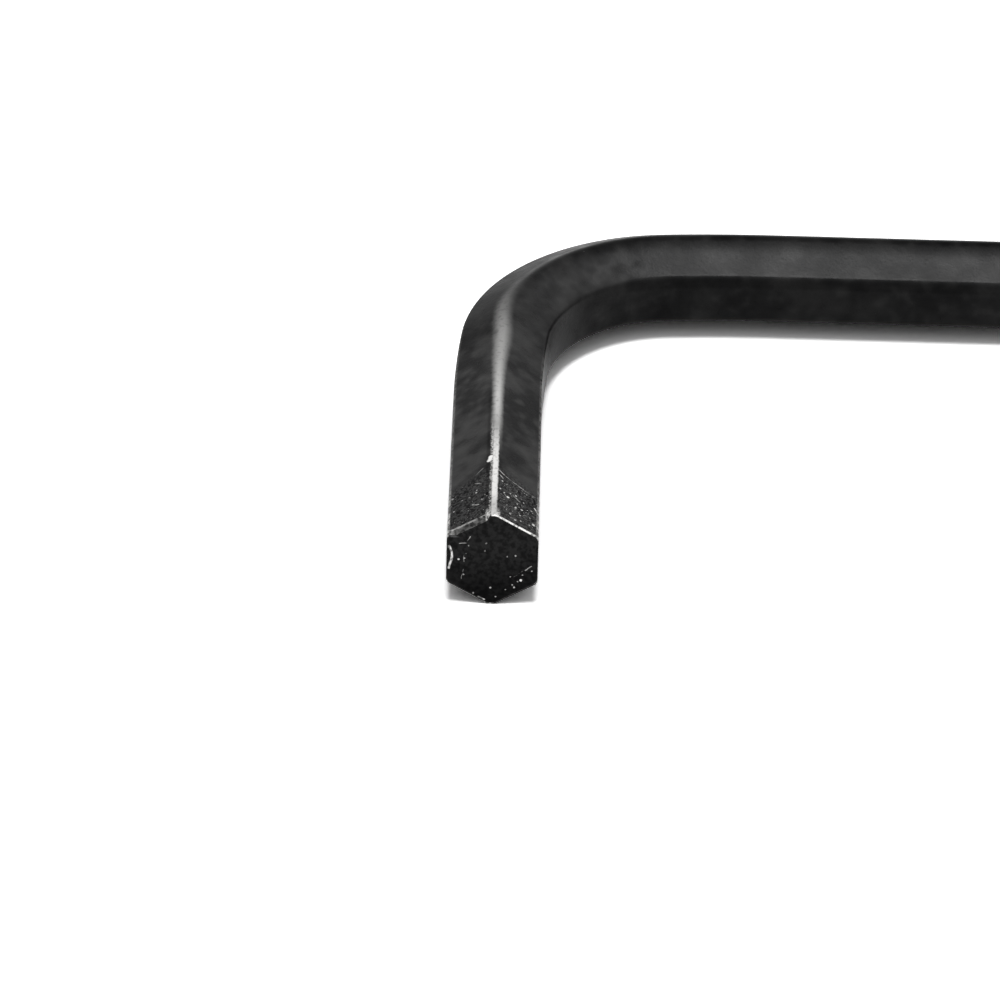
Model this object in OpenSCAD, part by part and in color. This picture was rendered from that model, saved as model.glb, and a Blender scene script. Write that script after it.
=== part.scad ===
// Hex key: one length of hexagonal steel bar, bent once to a right angle.
// It lies on a table as it comes to rest, on the lower corner of the bar.
// The long arm runs along +X and the short arm along -Y, and the origin is on
// the table under the middle of the key's outline.

/* [Bar] */
// Size across the flats of the bar, which is the size of the socket it turns
across_flats = 3; // [1.5:0.05:5]
// How far each long corner stops short of a full sharp hexagon's point
corner_cut = 0.06; // [0.01:0.01:0.12]

/* [Arms] */
// Short arm, from its end face to the outer flat of the long arm
short_arm = 20; // [14:0.5:45]
// Long arm, from its end face to the outer flat of the short arm
long_arm = 63; // [30:1:150]

/* [Bend] */
// Radius of the tight middle of the bend, measured to the centre line of the bar
bend_r = 6.1; // [4:0.1:9]
// Radius of the gentle curve that leads from each arm into the bend
lead_r = 44; // [20:1:60]
// Turn that each of the two gentle curves takes out of the right angle
lead_angle = 5; // [1:0.5:8]

/* [Ends] */
// Depth of the bevel along the six sides of each end face
edge_break = 0.04; // [0.02:0.01:0.2]
// Depth of the turned bevel that takes the six points off each end face
point_break = 0.05; // [0.03:0.01:0.3]

/* [Hidden] */
$fn = 96;

flats = 6;
flat_turn = 360 / flats;
half_flats = across_flats / 2;
// Reach of a sharp corner from the centre of the bar, and of the real, drawn one
sharp_reach = half_flats / cos(flat_turn / 2);
corner_reach = sharp_reach - corner_cut;

// Centre lines of the two arms, and the height of both above the table
short_x = half_flats - long_arm / 2;
long_y = short_arm / 2 - half_flats;
bar_z = corner_reach;

// Distance from the crossing of those centre lines to where each arm starts to turn
bend_setback = lead_r * (sin(lead_angle) + 1 - cos(lead_angle))
    + bend_r * (cos(lead_angle) - sin(lead_angle));

// Straight length of each arm, from its end face to the start of its turn
short_straight = short_arm - half_flats - bend_setback;
long_straight = long_arm - half_flats - bend_setback;

// Section of the bar: a hexagon with one corner up and one down, drawn round at its corners
module bar_section() {
    intersection() {
        rotate(flat_turn / 2)
            circle(r = sharp_reach, $fn = flats);
        circle(r = corner_reach);
    }
}

// Blocks that bevel the six sides of an end face, which lies at z = 0 and faces down
module side_bevels() {
    block = 2 * across_flats;
    for (k = [0:flats - 1])
        rotate([0, 0, k * flat_turn])
            translate([half_flats - edge_break, 0, 0])
                rotate([0, 45, 0])
                    translate([0, -block / 2, -block / 2])
                        cube(block);
}

// Cone that takes the points off an end face at z = 0, and clears the bar above it
module turned_end(length) {
    end_r = corner_reach - point_break;
    cylinder(h = length, r1 = end_r, r2 = end_r + length);
}

// Straight arm from its end face at z = 0 up to the bend, with its end bevelled
module straight_arm(length) {
    difference() {
        intersection() {
            linear_extrude(height = length)
                bar_section();
            turned_end(length);
        }
        side_bevels();
    }
}

// Moves what it is given to a place on the bar's centre plane. It goes there in a coarse
// step and a fine one, which keeps more decimals, so that the lengths of bar meet exactly.
module placed(spot) {
    coarse = [round(spot.x * 10) / 10, round(spot.y * 10) / 10, 0];
    translate([0, 0, bar_z])
        translate(coarse)
            translate([spot.x, spot.y, 0] - coarse)
                children();
}

// Short arm, with its end face towards -Y
module short_arm_bar() {
    placed([short_x, long_y - bend_setback])
        rotate([-90, 0, 0])
            translate([0, 0, -short_straight])
                straight_arm(short_straight);
}

// Long arm, with its end face towards +X
module long_arm_bar() {
    placed([short_x + bend_setback, long_y])
        rotate([90, 0, -90])
            translate([0, 0, -long_straight])
                straight_arm(long_straight);
}

// Curved length of bar that turns about a centre, from one compass angle over a sweep
module turned_bar(centre, radius, from, sweep) {
    placed(centre)
        rotate_extrude(angle = sweep, start = from)
            translate([radius, 0])
                bar_section();
}

// Bend that joins the arms: a tight middle with a gentle curve on each side of it
module bend() {
    short_lead = [short_x + lead_r, long_y - bend_setback];
    long_lead = [short_x + bend_setback, long_y - lead_r];
    middle = short_lead + (lead_r - bend_r) * [-cos(lead_angle), sin(lead_angle)];
    turned_bar(short_lead, lead_r, 180 - lead_angle, lead_angle);
    turned_bar(middle, bend_r, 90 + lead_angle, 90 - 2 * lead_angle);
    turned_bar(long_lead, lead_r, 90, lead_angle);
}

module hex_key() {
    color("#3a3a3b")
        union() {
            short_arm_bar();
            bend();
            long_arm_bar();
        }
}

hex_key();
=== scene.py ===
import math

import bmesh
import bpy
from mathutils import Matrix, Quaternion, Vector, noise


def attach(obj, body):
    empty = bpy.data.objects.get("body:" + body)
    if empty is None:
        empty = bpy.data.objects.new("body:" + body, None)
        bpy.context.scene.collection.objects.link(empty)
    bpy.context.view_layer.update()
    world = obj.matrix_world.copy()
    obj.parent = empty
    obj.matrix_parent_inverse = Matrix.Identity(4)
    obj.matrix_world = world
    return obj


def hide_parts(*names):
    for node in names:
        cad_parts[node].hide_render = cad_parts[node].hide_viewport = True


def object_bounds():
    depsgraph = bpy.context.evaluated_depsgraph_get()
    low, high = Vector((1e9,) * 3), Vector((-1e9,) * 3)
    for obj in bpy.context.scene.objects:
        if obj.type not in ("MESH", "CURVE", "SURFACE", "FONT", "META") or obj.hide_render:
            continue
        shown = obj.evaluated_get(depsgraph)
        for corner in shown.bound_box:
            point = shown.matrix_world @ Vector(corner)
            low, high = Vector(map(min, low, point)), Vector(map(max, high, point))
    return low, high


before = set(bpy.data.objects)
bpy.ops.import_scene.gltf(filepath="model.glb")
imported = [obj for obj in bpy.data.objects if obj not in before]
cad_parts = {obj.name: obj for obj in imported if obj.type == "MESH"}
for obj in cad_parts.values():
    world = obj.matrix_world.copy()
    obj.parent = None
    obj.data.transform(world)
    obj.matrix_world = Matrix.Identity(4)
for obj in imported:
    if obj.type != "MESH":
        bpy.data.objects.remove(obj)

cadLow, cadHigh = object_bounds()
print("frame loaded, box in mm:", [round(1000 * side, 3) for side in cadHigh - cadLow])


# The bar and its two arms. Lengths are in metres.
bar = {
    "acrossFlats": 0.003,
    "cornerBlend": 0.00006,     # softness of the line where a corner meets a flat
    "sharpCut": 0.00003,        # how far the corners at the sides stop short of a sharp hexagon
    "sharpBlend": 0.00003,
    "flatCuts": 23,
    "cornerCuts": 5,
    "bendRadius": 0.0061,
    "leadRadius": 0.044,        # the gentle curve on each side of the bend
    "leadTurn": math.radians(5),
    "leadSteps": 26,
    "bendSteps": 58,
    "endFace": 0.00002,         # side bevels of an end face
    "endPoints": 0.00002,       # turned bevel that takes the points off an end face
    "endBlend": 0.000008,
    "wornSide": 0.00025,        # extra depth where the upper left edge of the short end is worn
    "wornFrom": (1, 8),         # angles from the top where that wear sets in and where it ends,
    "wornTo": (54, 63),         # in degrees
    "wornPoint": 0.00003,       # extra depth where the top point is worn
    "wornPointSpread": math.radians(9),
    "capRings": 15,
    "farEndLength": 0.001,      # the long arm's last piece, which has closer rings
    "farEndStep": 0.0001,
    "wave": 0.000004,           # slight unevenness of a drawn bar
    "waveLength": 0.0017,
}
# Where the rings of the mesh are close together: (distance from the end, step)
endSteps = [(0.00026, 0.000013), (0.0005, 0.00003), (0.0045, 0.00005)]
shortStep = 0.00012
longSteps = [(0.018, 0.00025)]
longStep = 0.0004

half = bar["acrossFlats"] / 2
sideLength = 2 * half * math.tan(math.radians(30))
sharpReach = half / math.cos(math.radians(30))
cornerReach = (cadHigh.z - cadLow.z) / 2
shortX = cadLow.x + half
longY = cadHigh.y - half
barZ = cadLow.z + cornerReach

leadTurn = bar["leadTurn"]
setback = (bar["leadRadius"] * (math.sin(leadTurn) + 1 - math.cos(leadTurn))
           + bar["bendRadius"] * (math.cos(leadTurn) - math.sin(leadTurn)))
bendStartY = longY - setback
bendEndX = shortX + setback
radiusGap = bar["leadRadius"] - bar["bendRadius"]
shortLead = Vector((shortX + bar["leadRadius"], bendStartY))
bendCentre = shortLead + radiusGap * Vector((-math.cos(leadTurn), math.sin(leadTurn)))
longLead = Vector((bendEndX, longY - bar["leadRadius"]))

shortStraight = bendStartY - cadLow.y
leadLength = bar["leadRadius"] * leadTurn
bendLength = bar["bendRadius"] * (math.pi / 2 - 2 * leadTurn)
longStraight = cadHigh.x - bendEndX
barLength = shortStraight + 2 * leadLength + bendLength + longStraight


def barPlace(point):
    # Distance along the bar from the short end, the bar's centre there, and its right-hand side
    if point.y <= bendStartY:
        return point.y - cadLow.y, Vector((shortX, point.y, barZ)), Vector((1, 0, 0))
    if point.x >= bendEndX:
        along = barLength - (cadHigh.x - point.x)
        return along, Vector((point.x, longY, barZ)), Vector((0, -1, 0))
    turn = math.atan2(point.y - bendCentre.y, bendCentre.x - point.x)
    if turn < leadTurn:
        centre, radius, before = shortLead, bar["leadRadius"], shortStraight
        turn = math.atan2(point.y - centre.y, centre.x - point.x)
        along = before + radius * turn
    elif turn > math.pi / 2 - leadTurn:
        centre, radius, before = longLead, bar["leadRadius"], shortStraight + leadLength + bendLength
        turn = math.atan2(point.y - centre.y, centre.x - point.x)
        along = before + radius * (turn - math.pi / 2 + leadTurn)
    else:
        centre, radius, before = bendCentre, bar["bendRadius"], shortStraight + leadLength
        along = before + radius * (turn - leadTurn)
    inward = Vector((math.cos(turn), -math.sin(turn), 0))
    return along, Vector((centre.x, centre.y, barZ)) - radius * inward, inward


def softMin(values, blend):
    # The smallest of the values, with a rounded change from one to the next
    low = values[0]
    for value in values[1:]:
        mix = max(blend - abs(low - value), 0) / blend
        low = min(low, value) - mix * mix * blend / 4
    return low


def rising(value, low, high):
    return min(max((value - low) / (high - low), 0), 1)


def sectionReach(angle, fromEnd, worn=0.0, blunt=0.0):
    # How far the bar reaches from its centre, at an angle from the top and a distance from its end
    fromFlat = (angle % math.radians(60)) - math.radians(30)
    side = half / math.cos(fromFlat)
    # The corners at the sides are sharper than the worn ones at the top and bottom
    upright = round(math.degrees(angle) / 60) % 3 == 0
    corner = cornerReach if upright else sharpReach - bar["sharpCut"]
    reach = softMin([side, corner], bar["cornerBlend"] if upright else bar["sharpBlend"])
    bevel = (half - bar["endFace"] - worn + fromEnd) / math.cos(fromFlat)
    turned = corner - bar["endPoints"] - blunt + fromEnd
    return softMin([reach, bevel, turned], bar["endBlend"])


# Marks of use that are cut into the bar. Places are in millimetres: right of the bar's centre,
# and along it from the short end.
dents = [
    {"right": -0.18, "along": 3.70, "size": 0.14, "stretch": 1.8, "depth": 0.016},
    {"right": 0.16, "along": 0.25, "size": 0.14, "stretch": 1.2, "depth": 0.012},
    {"right": -0.18, "along": 0.35, "size": 0.12, "stretch": 1.3, "depth": 0.010},
    {"right": 0.03, "along": 1.10, "size": 0.14, "stretch": 1.8, "depth": 0.006},
    {"right": 0.08, "along": 4.30, "size": 0.16, "stretch": 2.2, "depth": 0.005},
]


def dentDepth(right, along):
    depth = 0
    for dent in dents:
        across = (1000 * right - dent["right"]) / dent["size"]
        length = (1000 * along - dent["along"]) / (dent["size"] * dent["stretch"])
        depth += dent["depth"] * math.exp(-2 * (across * across + length * length))
    return depth / 1000


def ringOf(made):
    verts = {item for item in made if isinstance(item, bmesh.types.BMVert)}
    edges = [item for item in made if isinstance(item, bmesh.types.BMEdge)
             and item.verts[0] in verts and item.verts[1] in verts]
    return edges, list(verts)


def stepsAlong(length, nearSteps, farStep):
    # Distances from an end, close together near it and wider further on
    places, at = [], 0
    for reach, step in nearSteps + [(length, farStep)]:
        reach = min(reach, length)
        count = max(1, round((reach - at) / step))
        places += [at + (reach - at) * (k + 1) / count for k in range(count)]
        at = reach
        if at >= length:
            break
    return places


def extrudeStraight(mesh, ring, places, direction):
    at = 0
    for place in places:
        ring, verts = ringOf(bmesh.ops.extrude_edge_only(mesh, edges=ring)["geom"])
        bmesh.ops.translate(mesh, verts=verts, vec=(place - at) * direction)
        at = place
    return ring


def spinBar(mesh, ring, centre, turn, steps):
    made = bmesh.ops.spin(mesh, geom=ring, cent=(centre.x, centre.y, barZ), axis=(0, 0, -1),
                          angle=turn, steps=steps, use_merge=False, use_duplicate=False)
    return ringOf(made["geom_last"])[0]


def startRing(mesh):
    bmesh.ops.create_circle(mesh, cap_ends=True, segments=6, radius=sharpReach)
    cut = sideLength / 2 - math.sqrt(cornerReach ** 2 - half ** 2)
    bmesh.ops.bevel(mesh, geom=mesh.verts[:], offset=cut, offset_type="OFFSET", segments=1,
                    profile=0.5, affect="VERTICES", material=-1)
    bmesh.ops.delete(mesh, geom=mesh.faces[:], context="FACES_ONLY")
    corners = [edge for edge in mesh.edges if edge.calc_length() < sideLength / 2]
    sides = [edge for edge in mesh.edges if edge.calc_length() >= sideLength / 2]
    bmesh.ops.subdivide_edges(mesh, edges=corners, cuts=bar["cornerCuts"])
    bmesh.ops.subdivide_edges(mesh, edges=sides, cuts=bar["flatCuts"])
    bmesh.ops.rotate(mesh, verts=mesh.verts[:], cent=(0, 0, 0),
                     matrix=Matrix.Rotation(math.radians(90), 3, "X"))
    bmesh.ops.translate(mesh, verts=mesh.verts[:], vec=(shortX, cadLow.y, barZ))
    return mesh.edges[:]


def closeEnd(mesh, ring, centre):
    # Rings that shrink to the middle of an end face
    rings = bar["capRings"]
    for k in range(rings - 1):
        ring, verts = ringOf(bmesh.ops.extrude_edge_only(mesh, edges=ring)["geom"])
        share = (rings - k - 1) / (rings - k)
        bmesh.ops.scale(mesh, vec=(share,) * 3, verts=verts, space=Matrix.Translation(-centre))
    ring, verts = ringOf(bmesh.ops.extrude_edge_only(mesh, edges=ring)["geom"])
    bmesh.ops.pointmerge(mesh, verts=verts, merge_co=centre)


def shapeSides(mesh):
    for vert in mesh.verts:
        along, centre, right = barPlace(vert.co)
        across, up = (vert.co - centre).dot(right), vert.co.z - barZ
        angle = math.atan2(across, up)
        fromEnd = min(along, barLength - along)
        worn, blunt = 0, 0
        if along < shortStraight:
            blunt = bar["wornPoint"] * math.exp(-(angle / bar["wornPointSpread"]) ** 2)
        if along < shortStraight and across < 0 < up:
            turned = math.degrees(abs(angle))
            worn = rising(turned, *bar["wornFrom"]) * (1 - rising(turned, *bar["wornTo"]))
            worn *= bar["wornSide"]
        reach = sectionReach(angle, fromEnd, worn, blunt)
        wave = noise.noise(vert.co / bar["waveLength"]) - 1
        reach += 0.5 * bar["wave"] * wave
        if along < shortStraight and up > 0.4 * half:
            reach -= dentDepth(across, along)
        vert.co = centre + reach * (math.sin(angle) * right + math.cos(angle) * Vector((0, 0, 1)))


# The short end face: cut a little off square, with a rough facet at its lower right
shortEnd = {
    "slant": 0.20,              # how far back its top is, in mm like all the values here
    "slantReach": 1.6,
    "facetFrom": (1.30, -0.18),
    "facetTo": (0.67, -0.72),
    "facetDepth": 0.05,
    "facetReach": 0.45,
    "roughness": 0.008,
    "grain": 0.11,
    "seen": 0.65,               # share of the set-back by which the marks on the face come down
    "raised": 0.07,
}


def slantAt(up):
    # How far back the end face is, in millimetres at a height from the bar's centre
    return shortEnd["slant"] * (0.5 + up / (2000 * cornerReach))


def shapeShortEnd(mesh):
    start, end = Vector(shortEnd["facetFrom"]), Vector(shortEnd["facetTo"])
    line = (end - start).normalized()
    outward = Vector((-line.y, line.x))
    for vert in mesh.verts:
        inside = 1000 * (vert.co.y - cadLow.y)
        if inside < shortEnd["slantReach"]:
            share = (1 - inside / shortEnd["slantReach"]) ** 2
            vert.co.y += share * slantAt(1000 * (vert.co.z - barZ)) / 1000
        if inside > 0.001:
            continue
        place = Vector((vert.co.x - shortX, vert.co.z - barZ)) * 1000
        beyond = (place - start).dot(outward)
        grain = noise.noise(Vector((place.x, place.y, 0)) / shortEnd["grain"])
        depth = 0.25 * shortEnd["roughness"] * (1 + grain)
        if beyond > 0:
            share = min(beyond / shortEnd["facetReach"], 1)
            depth += shortEnd["facetDepth"] * share + shortEnd["roughness"] * share * (1 + grain)
        vert.co.y += depth / 1000


def aroundBar(across, up):
    # Distance round the bar from its top corner, positive to the right
    angle = abs(math.atan2(across, up))
    side = min(int(angle / math.radians(60)), 2)
    fromFlat = angle - math.radians(60 * side + 30)
    return side * sideLength + sideLength / 2 + half * math.tan(fromFlat)


def mapBar(mesh):
    # One map for the finish: u is the distance along the bar and v the distance round it, in mm
    layer = mesh.loops.layers.uv.new("barMap")
    for face in mesh.faces:
        middle = face.calc_center_median()
        along, centre, right = barPlace(middle)
        sign = 1 if (middle - centre).dot(right) >= 0 else -1
        for loop in face.loops:
            along, centre, right = barPlace(loop.vert.co)
            across, up = (loop.vert.co - centre).dot(right), loop.vert.co.z - barZ
            inside = max(0, sectionReach(math.atan2(across, up), 0) - math.hypot(across, up))
            if min(along, barLength - along) < 1e-4:
                along = -inside if along < barLength / 2 else barLength + inside
            around = sign * aroundBar(across, up)
            loop[layer].uv = (1000 * along, 1000 * around)


def makeBar():
    mesh = bmesh.new()
    ring = startRing(mesh)
    firstVerts = list({vert for edge in ring for vert in edge.verts})
    places = stepsAlong(shortStraight, endSteps, shortStep)
    ring = extrudeStraight(mesh, ring, places, Vector((0, 1, 0)))
    ring = spinBar(mesh, ring, shortLead, leadTurn, bar["leadSteps"])
    ring = spinBar(mesh, ring, bendCentre, math.pi / 2 - 2 * leadTurn, bar["bendSteps"])
    ring = spinBar(mesh, ring, longLead, leadTurn, bar["leadSteps"])
    # The steps of the long arm start from the bend, so the close ones near its end come last
    nearEnd = stepsAlong(bar["farEndLength"], endSteps[:1], bar["farEndStep"])
    places = stepsAlong(longStraight - bar["farEndLength"], longSteps, longStep)
    places += [longStraight - place for place in reversed(nearEnd[:-1])] + [longStraight]
    ring = extrudeStraight(mesh, ring, places, Vector((1, 0, 0)))
    shapeSides(mesh)
    firstRing = [edge for edge in mesh.edges if edge.is_boundary and edge.verts[0] in firstVerts]
    closeEnd(mesh, firstRing, Vector((shortX, cadLow.y, barZ)))
    closeEnd(mesh, ring, Vector((cadHigh.x, longY, barZ)))
    mapBar(mesh)
    shapeShortEnd(mesh)
    bmesh.ops.recalc_face_normals(mesh, faces=mesh.faces[:])
    data = bpy.data.meshes.new("wornBar")
    mesh.to_mesh(data)
    mesh.free()
    data.polygons.foreach_set("use_smooth", [True] * len(data.polygons))
    made = bpy.data.objects.new("wornBar", data)
    bpy.context.scene.collection.objects.link(made)
    print("bar made,", len(data.polygons), "faces, length along its centre line in mm:",
          round(1000 * barLength, 2))
    return made


# The finish. Colours are linear and sizes are in millimetres. Places along the bar are counted
# from its short end, and places round it from its top corner, positive to the right. A ramp is
# given as from, to, its value before and its value after, or as from and to alone. A zone is given
# as from, to and the softness of its ends.
finish = {
    "oxide": (0.004, 0.004, 0.0042, 1),
    "oxidePale": (0.026, 0.0255, 0.025, 1),
    "steel": (0.86, 0.855, 0.84, 1),
    "oxideRoughness": (0.3, 0.7, 0.27, 0.40),   # a ramp on the patchy noise
    "steelRoughness": 0.33,
    "rubbedBroad": (0.42, 0.66, 0.0, 0.5),      # paler patches of the black finish
    "rubbedPatchy": (0.5, 0.75, 0.0, 0.5),
    "rubbedOnFace": 0.25,
    "rubbedAlong": (9.0, 14.0, 1.0, 0.4),
    "sides": (-0.03, 0.0),                      # ramps on the distance from an end
    "faces": (-0.02, -0.08),
    "wobble": 0.10,
    "pitDepth": 0.000006,                       # in metres
    "pitStrength": 0.6,
    "pitSmall": 1.5,
}
# Noises: size and detail
grains = {
    "fine": (0.07, 3.0),
    "small": (0.16, 3.0),
    "patchy": (0.55, 1.5),
    "broad": (1.6, 1.0),
    "mottle": (0.09, 3.0),
}
# Bright band along the top corner of the short arm: worn bare steel near the end, and further along a
# painted highlight, drawn as bare steel, that leaves the corner to the left and fades at the bend
topBand = {
    "soft": 0.035,
    "middle": (-0.09, 0.125),
    "middleLevel": (0.8, 1.7, 0.68, 1.0),
    "left": (-0.18, -0.07),                     # a broken band left of it
    "leftGrain": (0.42, 0.58, 0.05, 0.85),
    "leftLevel": (3.1, 3.6, 0.55, 1.0),
    "tip": (-0.30, 0.24),                       # the spread of both at the end
    "tipGrain": (0.40, 0.56, 0.1, 0.9),
    "tipLevel": (0.75, 0.15),
    "far": (-0.13, 0.17, 0.13),                 # the wider and softer band that both turn into, a painted highlight
    "farFrom": (3.5, 8.0),
    "drift": (11.0, 15.0, 0.0, 0.30),
    "spread": (7.0, 12.0, 1.0, 0.58),
    "level": (4.0, 11.0, 0.90, 0.36),
    "broken": (0.30, 0.50, 0.72, 1.0),
    "fade": (15.6, 10.5),
}
# Patchy wear on the other corners, near the ends
cornerBand = {
    "width": (0.13, 0.052),
    "offTop": (0.3, 0.6),
    "nearEnd": (4.5, 0.5, 0.0, 0.7),
    "shortArm": (13.0, 9.0, 0.0, 0.15),
    "patches": (0.40, 0.60, 0.15, 1.0),
}
# Specks on the flats near the ends
speckle = {
    "right": (0.2, 1.7, 0.1),
    "rightAlong": (0.2, 2.7, 0.4),
    "left": (-1.7, -0.2, 0.1),
    "leftAlong": (0.1, 3.0, 0.5),
    "leftLevel": 0.7,
    "farEnd": (3.0, 0.5, 0.0, 0.7),
    "zoneLevel": 0.15,
    "grain": (0.77, 0.86, 0.0, 0.7),
}
# Bright lines along the edges of the end faces, strongest at the upper right of the short one
edgeLines = {
    "line": (-0.012, 0.024, 0.008),
    "broken": (0.40, 0.52, 0.3, 1.0),
    "right": (0.12, 1.62, 0.08),
    "left": (-1.75, -0.12, 0.08),
    "leftLevel": 0.36,
    "low": (-5.1, -3.6, 0.1),
    "lowLevel": 0.3,
    "elsewhere": 0.06,
    "farEnd": (2.0, 1.0, 0.0, 0.5),
    "outer": (0.23, 0.27, 0.02),                # second line, outside the worn upper left edge
    "outerBroken": (0.40, 0.55, 0.05, 0.4),
    "bevel": (0.0, 0.25, 0.03),
    "bevelPatches": (0.38, 0.60, 0.02, 0.14),
}
# How strongly the black finish shines, with painted highlight and painted shade where marked
gloss = {
    "level": 0.09,
    "mottling": (0.42, 0.60, 0.12, 2.15),       # near the short end, up to a slanting line
    "border": (3.65, 2.85),
    "borderSlope": 0.42,
    "clouds": (0.38, 0.62, 0.58, 1.50),         # on the rest of the bar
    "cloudsPatchy": 0.6,
    "cloudsBroad": 0.4,
    "cloudsAlong": (10.0, 15.0, 1.0, 0.4),
    "strip": (-0.34, -0.20, 0.05),              # painted shade: a dark strip left of the bright band
    "stripAlong": (9.0, 6.0, 0.0, 0.6),
    # painted shade: the flats left of the top corner shine less
    "leftFlatShade": (-0.10, -0.40, 1.0, 0.80),
    "innerBendShade": (1.95, 3.40, 0.10),            # painted shade: both sides of the bend are duller
    "innerAlong": (9.5, 15.0, 1.5),
    "innerLevel": 0.5,
    "outerBendShade": (-0.15, -0.60),
    "outerAlong": (9.0, 12.5, 0.0, 0.6),
    "bendTopHighlight": (0.35, 1.60, 0.25),              # and its top is brighter, a painted highlight
    "bendTopAlong": (14.5, 20.0, 1.5),
    "bendTopLevel": 1.6,
    "longArmCornerShade": (15.0, 21.5),                    # painted shade: duller along the corners of the long arm
    "nearTop": (0.85, 0.25, 0.0, 0.7),
    "frontCorner": (1.80, 2.15, 0.08),
    "frontLevel": 0.35,
    "faceHeightShade": (0.2, 2.2, 0.35, 1.25),       # painted shade: the end faces are darker towards the table
    "facePatches": (0.38, 0.62, 0.5, 1.6),
}
# How the marks below are drawn: they stray a little, and their edges are shares of their width
marks = {
    "wander": 0.09,
    "wanderScale": 3.5,
    "wanderDetail": 2.0,
    "scratchEdge": (0.75, 0.25),
    "scratchBroken": (0.36, 0.54, 0.25, 1.0),
    "speckEdge": (0.65, 0.35),
}
# Scratches on the two upper flats: right, along, right, along, width, brightness
flatScratches = [
    (0.11, 3.01, 0.33, 2.82, 0.040, 0.65),
    (0.33, 2.82, 0.67, 2.66, 0.034, 0.40),
    (0.67, 2.66, 1.00, 2.52, 0.036, 0.45),
    (1.00, 2.52, 1.37, 2.44, 0.032, 0.35),
    (0.14, 2.76, 0.28, 2.58, 0.040, 0.75),
    (-0.40, 3.27, -0.62, 3.03, 0.050, 0.22),
    (-0.64, 2.56, -0.44, 2.39, 0.035, 0.35),
    (-0.70, 1.32, -0.50, 1.16, 0.035, 0.45),
    (1.34, 1.76, 1.50, 1.46, 0.045, 1.0),
    (0.62, 1.86, 0.86, 1.72, 0.032, 0.45),
]
# Scratches on the short end face: right, up, right, up, width, brightness
endScratches = [
    (-1.09, 0.61, -0.86, 0.62, 0.026, 0.50),
    (-0.83, 0.72, -0.73, 0.89, 0.030, 0.45),
    (-0.92, 0.20, -0.93, -0.10, 0.022, 0.30),
    (-0.93, -0.40, -0.99, -0.78, 0.022, 0.28),
    (-1.41, 0.50, -1.33, 0.24, 0.070, 0.95),
    (-1.33, 0.24, -1.33, -0.02, 0.075, 0.95),
    (-1.33, -0.02, -1.41, -0.36, 0.070, 0.85),
    (1.28, -0.23, 1.08, -0.38, 0.035, 0.45),
    (0.99, -0.42, 0.72, -0.66, 0.022, 0.16),
    (-0.43, -1.45, -0.24, -1.56, 0.050, 0.80),
]
# Specks on the short end face: right, up, width, brightness
endSpecks = [
    (-1.09, -0.02, 0.07, 0.8), (-0.90, 0.04, 0.05, 0.6), (-0.86, 0.21, 0.05, 0.4),
    (-0.78, 0.51, 0.05, 0.35), (-0.91, -0.60, 0.06, 0.5), (0.48, 0.15, 0.05, 0.35),
    (0.75, 0.18, 0.06, 0.5), (-0.24, 0.34, 0.06, 0.2), (-0.20, 0.64, 0.06, 0.25),
    (0.95, -0.80, 0.10, 1.0), (0.99, -0.58, 0.06, 0.6), (0.84, -0.84, 0.06, 0.6),
    (0.73, -1.07, 0.08, 0.8), (0.67, -0.98, 0.07, 0.6), (1.30, -0.42, 0.06, 0.6),
    (0.47, -1.15, 0.06, 0.5), (0.13, -1.45, 0.06, 0.6), (-0.04, -1.10, 0.06, 0.55),
    (-0.60, -1.32, 0.06, 0.4), (1.22, -0.66, 0.05, 0.5), (0.60, -0.66, 0.05, 0.4),
]
# Specks and blobs on the upper flats: right, along, width, brightness
flatSpecks = [
    (-0.20, 3.60, 0.18, 1.0), (-0.18, 3.70, 0.18, 1.0), (-0.16, 3.80, 0.18, 1.0),
    (0.00, 0.08, 0.20, 1.0), (0.24, 0.06, 0.18, 1.0), (-0.33, 0.20, 0.13, 0.9),
    (0.26, 2.42, 0.06, 0.8), (0.72, 1.94, 0.07, 0.7), (0.52, 1.90, 0.05, 0.6),
    (0.33, 1.80, 0.06, 0.7), (0.47, 1.62, 0.10, 1.0), (0.20, 1.90, 0.06, 0.7),
    (0.77, 1.50, 0.06, 0.6), (0.92, 1.28, 0.09, 0.6), (0.72, 1.25, 0.07, 0.7),
    (0.87, 0.92, 0.06, 0.6), (0.54, 0.72, 0.08, 0.5), (0.90, 0.60, 0.06, 0.5),
    (0.72, 0.50, 0.08, 0.5), (1.32, 0.75, 0.10, 0.7), (1.18, 0.62, 0.06, 0.5),
    (-0.58, 2.10, 0.06, 0.5), (-0.60, 1.96, 0.07, 0.55), (-0.80, 1.84, 0.06, 0.35),
    (-0.30, 1.62, 0.05, 0.4), (-0.40, 1.40, 0.06, 0.4), (-1.05, 1.86, 0.06, 0.35),
    (-1.30, 1.40, 0.07, 0.5), (-1.36, 2.20, 0.09, 0.4), (-0.75, 0.35, 0.10, 0.25),
]


def put(tree, kind, inputs, **settings):
    made = tree.nodes.new(kind)
    for name, value in settings.items():
        setattr(made, name, value)
    for name, value in inputs.items():
        if isinstance(value, bpy.types.NodeSocket):
            tree.links.new(value, made.inputs[name])
        else:
            made.inputs[name].default_value = value
    return made


def maths(tree, operation, first, second=0.0, clamp=False):
    return put(tree, "ShaderNodeMath", {0: first, 1: second}, operation=operation,
               use_clamp=clamp).outputs[0]


def times(tree, *values):
    product = values[0]
    for value in values[1:]:
        product = maths(tree, "MULTIPLY", product, value)
    return product


def largest(tree, *values):
    top = values[0]
    for value in values[1:]:
        top = maths(tree, "MAXIMUM", top, value)
    return top


def less(tree, share):
    # What a share leaves of the whole
    return maths(tree, "SUBTRACT", 1.0, share)


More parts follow.
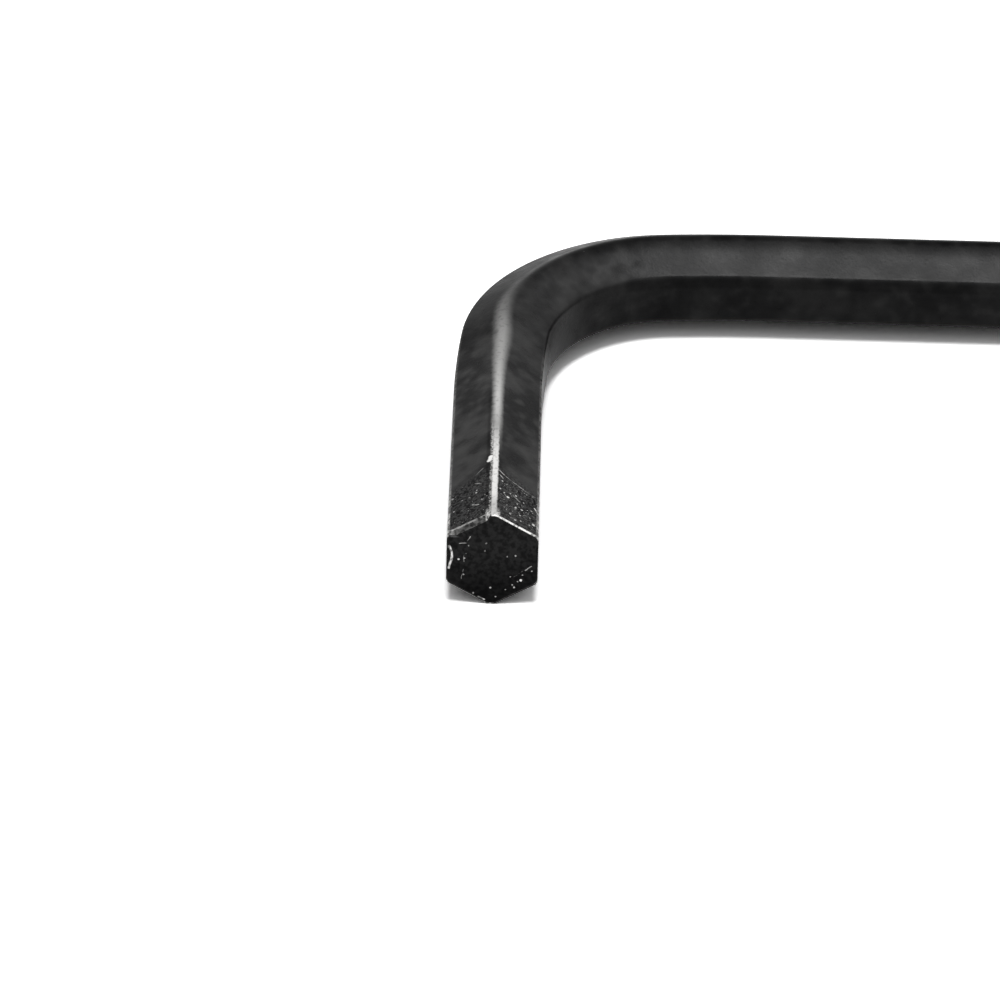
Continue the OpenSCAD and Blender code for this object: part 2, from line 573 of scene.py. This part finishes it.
def vectors(tree, operation, inputs, output=0):
    return put(tree, "ShaderNodeVectorMath", inputs, operation=operation).outputs[output]


def ramped(tree, value, low, high, toLow=0.0, toHigh=1.0):
    inputs = {"Value": value, "From Min": low, "From Max": high, "To Min": toLow, "To Max": toHigh}
    return put(tree, "ShaderNodeMapRange", inputs, interpolation_type="SMOOTHSTEP").outputs[0]


def between(tree, value, low, high, soft):
    rise = ramped(tree, value, low - soft, low + soft)
    fall = ramped(tree, value, high + soft, high - soft)
    return times(tree, rise, fall)


def grain(tree, place, size, detail):
    inputs = {"Vector": place, "Scale": 1 / size, "Detail": detail, "Roughness": 0.55}
    return put(tree, "ShaderNodeTexNoise", inputs).outputs[0]


def mixed(tree, share, first, second):
    inputs = {"Factor": share, 2: first, 3: second}
    return put(tree, "ShaderNodeMix", inputs, data_type="FLOAT").outputs[0]


def blended(tree, share, first, second):
    inputs = {"Factor": share, 6: first, 7: second}
    return put(tree, "ShaderNodeMix", inputs, data_type="RGBA").outputs[2]


def scratch(tree, place, start, end, width, strength):
    # A soft line from start to end, found by each point's distance from it
    run = end - start
    offset = vectors(tree, "SUBTRACT", {0: place, 1: start})
    share = vectors(tree, "DOT_PRODUCT", {0: offset, 1: run / run.length_squared}, 1)
    share = maths(tree, "ADD", share, 0.0, clamp=True)
    nearest = vectors(tree, "SCALE", {0: run, "Scale": share})
    apart = vectors(tree, "DISTANCE", {0: offset, 1: nearest}, 1)
    outer, inner = marks["scratchEdge"]
    return ramped(tree, apart, outer * width, inner * width, 0.0, strength)


def onFlat(right, along):
    # A point on one of the two upper flats of the short arm, in millimetres
    up = (1000 * half - 0.5 * abs(right)) / math.cos(math.radians(30))
    return Vector((1000 * shortX + right, 1000 * cadLow.y + along, 1000 * barZ + up))


def onShortEnd(right, up):
    # The height is as it looks from the camera, so it comes down where the face is set back
    up += shortEnd["raised"] - shortEnd["seen"] * slantAt(up)
    return Vector((1000 * shortX + right, 1000 * cadLow.y + slantAt(up), 1000 * barZ + up))


def scratches(tree, spot):
    # The place is shifted a little by noise first, so that no scratch is quite straight
    inputs = {"Vector": spot["place"], "Scale": marks["wanderScale"], "Detail": marks["wanderDetail"]}
    stray = put(tree, "ShaderNodeTexNoise", inputs).outputs[1]
    stray = vectors(tree, "SUBTRACT", {0: stray, 1: (0.5, 0.5, 0.5)})
    stray = vectors(tree, "SCALE", {0: stray, "Scale": marks["wander"]})
    place = vectors(tree, "ADD", {0: spot["place"], 1: stray})
    lines = []
    for point, scratchList in ((onFlat, flatScratches), (onShortEnd, endScratches)):
        for right, far, toRight, toFar, width, strength in scratchList:
            start, end = point(right, far), point(toRight, toFar)
            lines.append(scratch(tree, place, start, end, width, strength))
    total = times(tree, largest(tree, *lines), ramped(tree, spot["small"], *marks["scratchBroken"]))
    outer, inner = marks["speckEdge"]
    for point, speckList in ((onShortEnd, endSpecks), (onFlat, flatSpecks)):
        for right, far, width, strength in speckList:
            apart = vectors(tree, "DISTANCE", {0: place, 1: point(right, far)}, 1)
            speck = ramped(tree, apart, outer * width, inner * width, 0.0, strength)
            total = largest(tree, total, speck)
    return total


def readPlace(tree):
    # Where a point of the bar is, and the noises there
    coords = put(tree, "ShaderNodeTexCoord", {})
    place = vectors(tree, "SCALE", {0: coords.outputs["Object"], "Scale": 1000.0})
    barMap = put(tree, "ShaderNodeUVMap", {}, uv_map="barMap").outputs[0]
    parts = put(tree, "ShaderNodeSeparateXYZ", {0: barMap})
    spot = {name: grain(tree, place, *grains[name]) for name in grains}
    spot["place"] = place
    spot["along"], spot["around"] = parts.outputs[0], parts.outputs[1]
    spot["fromTop"] = maths(tree, "ABSOLUTE", spot["around"])
    spot["fromFarEnd"] = maths(tree, "SUBTRACT", 1000 * barLength, spot["along"])
    spot["fromEnd"] = maths(tree, "MINIMUM", spot["along"], spot["fromFarEnd"])
    spot["onSide"] = ramped(tree, spot["fromEnd"], *finish["sides"])
    spot["onFace"] = ramped(tree, spot["fromEnd"], *finish["faces"])
    spot["wobble"] = times(tree, maths(tree, "SUBTRACT", spot["small"], 0.5), finish["wobble"])
    return spot


# Worn steel along the top corner near the end, turning into a painted highlight further along
def topWearAndHighlight(tree, spot):
    along, fine, soft = spot["along"], spot["fine"], topBand["soft"]
    ragged = maths(tree, "ADD", spot["around"], spot["wobble"])
    middle = times(tree, between(tree, ragged, *topBand["middle"], soft),
                   ramped(tree, along, *topBand["middleLevel"]))
    left = times(tree, between(tree, ragged, *topBand["left"], soft),
                 ramped(tree, fine, *topBand["leftGrain"]),
                 ramped(tree, along, *topBand["leftLevel"]))
    tip = times(tree, between(tree, ragged, *topBand["tip"], soft),
                ramped(tree, fine, *topBand["tipGrain"]),
                ramped(tree, along, *topBand["tipLevel"]))
    # The far band, a painted highlight, leaves the corner to the left where the bend starts
    place = maths(tree, "ADD", ragged, ramped(tree, along, *topBand["drift"]))
    place = times(tree, place, ramped(tree, along, *topBand["spread"]))
    further = ramped(tree, along, *topBand["farFrom"])
    far = times(tree, between(tree, place, *topBand["far"]), further)
    near = times(tree, largest(tree, middle, left), less(tree, further))
    return times(tree, largest(tree, near, far, tip), ramped(tree, along, *topBand["level"]),
                 ramped(tree, spot["small"], *topBand["broken"]),
                 ramped(tree, along, *topBand["fade"]))


def cornerWear(tree, spot):
    inputs = {0: spot["around"], 1: 500 * sideLength}
    fromCorner = put(tree, "ShaderNodeMath", inputs, operation="PINGPONG").outputs[0]
    fromCorner = maths(tree, "ADD", fromCorner, spot["wobble"])
    level = largest(tree, ramped(tree, spot["fromEnd"], *cornerBand["nearEnd"]),
                    ramped(tree, spot["along"], *cornerBand["shortArm"]))
    return times(tree, ramped(tree, fromCorner, *cornerBand["width"]),
                 ramped(tree, spot["fromTop"], *cornerBand["offTop"]),
                 ramped(tree, spot["small"], *cornerBand["patches"]), level)


def speckWear(tree, spot):
    along, around = spot["along"], spot["around"]
    right = times(tree, between(tree, around, *speckle["right"]),
                  between(tree, along, *speckle["rightAlong"]))
    left = times(tree, between(tree, around, *speckle["left"]),
                 between(tree, along, *speckle["leftAlong"]), speckle["leftLevel"])
    zone = largest(tree, right, left, ramped(tree, spot["fromFarEnd"], *speckle["farEnd"]))
    level = maths(tree, "ADD", spot["fine"], times(tree, zone, speckle["zoneLevel"]))
    return ramped(tree, level, *speckle["grain"])


def edgeWear(tree, spot):
    along, around, small = spot["along"], spot["around"], spot["small"]
    left = between(tree, around, *edgeLines["left"])
    level = largest(tree, between(tree, around, *edgeLines["right"]), edgeLines["elsewhere"],
                    times(tree, left, edgeLines["leftLevel"]),
                    times(tree, between(tree, around, *edgeLines["low"]), edgeLines["lowLevel"]),
                    ramped(tree, spot["fromFarEnd"], *edgeLines["farEnd"]))
    line = times(tree, between(tree, spot["fromEnd"], *edgeLines["line"]), level,
                 ramped(tree, small, *edgeLines["broken"]))
    outer = times(tree, between(tree, maths(tree, "ADD", along, spot["wobble"]), *edgeLines["outer"]),
                  ramped(tree, small, *edgeLines["outerBroken"]))
    bevel = times(tree, between(tree, along, *edgeLines["bevel"]),
                  ramped(tree, small, *edgeLines["bevelPatches"]))
    return largest(tree, line, times(tree, largest(tree, bevel, outer), left))


def shineWithPaintedLight(tree, spot):
    along, around, fromTop = spot["along"], spot["around"], spot["fromTop"]
    border = maths(tree, "ADD", along, times(tree, fromTop, gloss["borderSlope"]))
    mottled = times(tree, ramped(tree, border, *gloss["border"]), spot["onSide"])
    clouds = maths(tree, "ADD", times(tree, spot["patchy"], gloss["cloudsPatchy"]),
                   times(tree, spot["broad"], gloss["cloudsBroad"]))
    clouds = maths(tree, "SUBTRACT", clouds, 0.5)
    clouds = times(tree, clouds, ramped(tree, along, *gloss["cloudsAlong"]))
    clouds = maths(tree, "ADD", clouds, 0.5)
    shine = mixed(tree, mottled, ramped(tree, clouds, *gloss["clouds"]),
                  ramped(tree, spot["mottle"], *gloss["mottling"]))
    # Painted shade: a duller strip left of the bright band
    strip = times(tree, between(tree, around, *gloss["strip"]),
                  ramped(tree, along, *gloss["stripAlong"]))
    # Painted shade: both sides of the bend shine less
    inner = times(tree, between(tree, around, *gloss["innerBendShade"]),
                  between(tree, along, *gloss["innerAlong"]), gloss["innerLevel"])
    outer = times(tree, ramped(tree, around, *gloss["outerBendShade"]),
                  ramped(tree, along, *gloss["outerAlong"]))
    # Painted highlight: the top of the bend shines more
    top = times(tree, between(tree, around, *gloss["bendTopHighlight"]),
                between(tree, along, *gloss["bendTopAlong"]), gloss["bendTopLevel"])
    # Painted shade: the long arm shines less near its top and front corners
    front = times(tree, between(tree, fromTop, *gloss["frontCorner"]), gloss["frontLevel"])
    corners = times(tree, largest(tree, ramped(tree, fromTop, *gloss["nearTop"]), front),
                    ramped(tree, along, *gloss["longArmCornerShade"]))
    # Painted shade: the left side shines less than the right
    shine = times(tree, shine, less(tree, strip), ramped(tree, around, *gloss["leftFlatShade"]),
                  less(tree, largest(tree, inner, outer)), maths(tree, "ADD", 1.0, top),
                  less(tree, corners))
    # Painted shade: the end faces shine less towards the table
    height = put(tree, "ShaderNodeSeparateXYZ", {0: spot["place"]}).outputs[2]
    face = times(tree, ramped(tree, height, *gloss["faceHeightShade"]),
                 ramped(tree, spot["small"], *gloss["facePatches"]))
    return times(tree, mixed(tree, spot["onFace"], shine, face), gloss["level"])


def darkSteel():
    material = bpy.data.materials.new("darkSteel")
    material.use_nodes = True
    tree = material.node_tree
    shader = tree.nodes["Principled BSDF"]
    spot = readPlace(tree)

    # Worn places show bare steel, and so does the painted highlight along the top corner
    onSides = largest(tree, topWearAndHighlight(tree, spot), cornerWear(tree, spot), speckWear(tree, spot))
    wearAndHighlight = largest(tree, times(tree, onSides, spot["onSide"]), edgeWear(tree, spot),
                   scratches(tree, spot))

    # Black finish with paler, rubbed patches, fewer on the end faces and along the long arm
    rubbed = maths(tree, "ADD", ramped(tree, spot["broad"], *finish["rubbedBroad"]),
                   ramped(tree, spot["patchy"], *finish["rubbedPatchy"]))
    rubbed = times(tree, rubbed, ramped(tree, spot["onFace"], 0.0, 1.0, 1.0, finish["rubbedOnFace"]),
                   ramped(tree, spot["along"], *finish["rubbedAlong"]))
    oxide = blended(tree, rubbed, finish["oxide"], finish["oxidePale"])
    roughness = mixed(tree, wearAndHighlight, ramped(tree, spot["patchy"], *finish["oxideRoughness"]),
                      finish["steelRoughness"])
    tree.links.new(blended(tree, wearAndHighlight, oxide, finish["steel"]), shader.inputs["Base Color"])
    tree.links.new(wearAndHighlight, shader.inputs["Metallic"])
    tree.links.new(roughness, shader.inputs["Roughness"])
    tree.links.new(shineWithPaintedLight(tree, spot), shader.inputs["Specular IOR Level"])

    pits = maths(tree, "ADD", spot["fine"], times(tree, spot["small"], finish["pitSmall"]))
    inputs = {"Height": pits, "Strength": finish["pitStrength"], "Distance": finish["pitDepth"]}
    tree.links.new(put(tree, "ShaderNodeBump", inputs).outputs[0], shader.inputs["Normal"])
    return material


wornBar = makeBar()
wornBar.data.materials.append(darkSteel())
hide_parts("hex_key")
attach(wornBar, "root")
print("finish made")


# Floor and light. The floor and the world look white, and the floor keeps the shadow.
studio = {
    "floorSize": 6.0,
    "floorColour": 0.85,
    "floorSeen": 1.6,           # its colour to the camera, past white so that only shade shows
    "floorMirrored": 1.0,
    "whiteFrom": 0.12,          # distance from the key at which the floor turns plain white
    "whiteTo": 0.25,
    "ambient": 0.08,
}
# Lamps overhead, a small one and a wide one: strength, angle, tilt towards the front and tilt
# towards the right
lamps = [(2.1, 22, 7, 0), (1.0, 90, 18, 5)]


def floorMaterial():
    material = bpy.data.materials.new("paleFloor")
    material.use_nodes = True
    tree = material.node_tree
    tree.nodes.clear()
    light = put(tree, "ShaderNodeLightPath", {})
    seen = maths(tree, "MULTIPLY", light.outputs["Is Camera Ray"],
                 studio["floorSeen"] - studio["floorColour"])
    mirrored = maths(tree, "MULTIPLY", light.outputs["Is Glossy Ray"],
                     studio["floorMirrored"] - studio["floorColour"])
    level = maths(tree, "ADD", maths(tree, "ADD", seen, mirrored), studio["floorColour"])
    grey = put(tree, "ShaderNodeCombineXYZ", {0: level, 1: level, 2: level})
    diffuse = put(tree, "ShaderNodeBsdfDiffuse", {"Color": grey.outputs[0]})
    white = put(tree, "ShaderNodeEmission", {"Strength": 1.0})
    coords = put(tree, "ShaderNodeTexCoord", {})
    away = vectors(tree, "LENGTH", {0: coords.outputs["Object"]}, 1)
    share = ramped(tree, away, studio["whiteFrom"], studio["whiteTo"])
    mixed = put(tree, "ShaderNodeMixShader", {0: share, 1: diffuse.outputs[0], 2: white.outputs[0]})
    put(tree, "ShaderNodeOutputMaterial", {"Surface": mixed.outputs[0]})
    return material


def makeFloor():
    mesh = bmesh.new()
    bmesh.ops.create_grid(mesh, x_segments=1, y_segments=1, size=studio["floorSize"] / 2)
    data = bpy.data.meshes.new("floor")
    mesh.to_mesh(data)
    mesh.free()
    floor = bpy.data.objects.new("floor", data)
    bpy.context.scene.collection.objects.link(floor)
    floor.data.materials.append(floorMaterial())
    return floor


def makeWorld():
    world = bpy.data.worlds.new("studio")
    world.use_nodes = True
    bpy.context.scene.world = world
    tree = world.node_tree
    light = put(tree, "ShaderNodeLightPath", {})
    seen = maths(tree, "ADD", light.outputs["Is Camera Ray"], light.outputs["Is Glossy Ray"])
    seen = maths(tree, "ADD", seen, light.outputs["Is Transmission Ray"], clamp=True)
    strength = ramped(tree, seen, 0.0, 1.0, studio["ambient"], 1.0)
    background = tree.nodes["Background"]
    background.inputs["Color"].default_value = (1, 1, 1, 1)
    tree.links.new(strength, background.inputs["Strength"])


def makeLamp(strength, angle, front, right):
    data = bpy.data.lights.new("softbox", "SUN")
    data.energy = strength
    data.angle = math.radians(angle)
    lamp = bpy.data.objects.new("softbox", data)
    bpy.context.scene.collection.objects.link(lamp)
    lamp.rotation_euler = (math.radians(front), math.radians(right), 0)
    lamp.visible_camera = False


floor = makeFloor()
makeWorld()
for strength, angle, front, right in lamps:
    makeLamp(strength, angle, front, right)
print("studio made")


# The photograph's view, from in front of the short end and above
view = {
    "lens": 216,
    "sensor": 36,
    "place": (-0.02905, -0.172776, 0.109976),
    "azimuth": -0.262,
    "elevation": 33.047,
    "roll": 1.465,
    "clip": (0.005, 20),
}


def makeCamera():
    data = bpy.data.cameras.new("camera")
    data.lens = view["lens"]
    data.sensor_width = view["sensor"]
    data.clip_start, data.clip_end = view["clip"]
    camera = bpy.data.objects.new("camera", data)
    bpy.context.scene.collection.objects.link(camera)
    azimuth, elevation = math.radians(view["azimuth"]), math.radians(view["elevation"])
    forward = Vector((math.sin(azimuth) * math.cos(elevation),
                      math.cos(azimuth) * math.cos(elevation),
                      -math.sin(elevation)))
    camera.location = view["place"]
    camera.rotation_mode = "QUATERNION"
    roll = Quaternion((0, 0, 1), math.radians(view["roll"]))
    camera.rotation_quaternion = forward.to_track_quat("-Z", "Y") @ roll
    bpy.context.scene.camera = camera


makeCamera()
bpy.context.scene.view_settings.view_transform = "Standard"
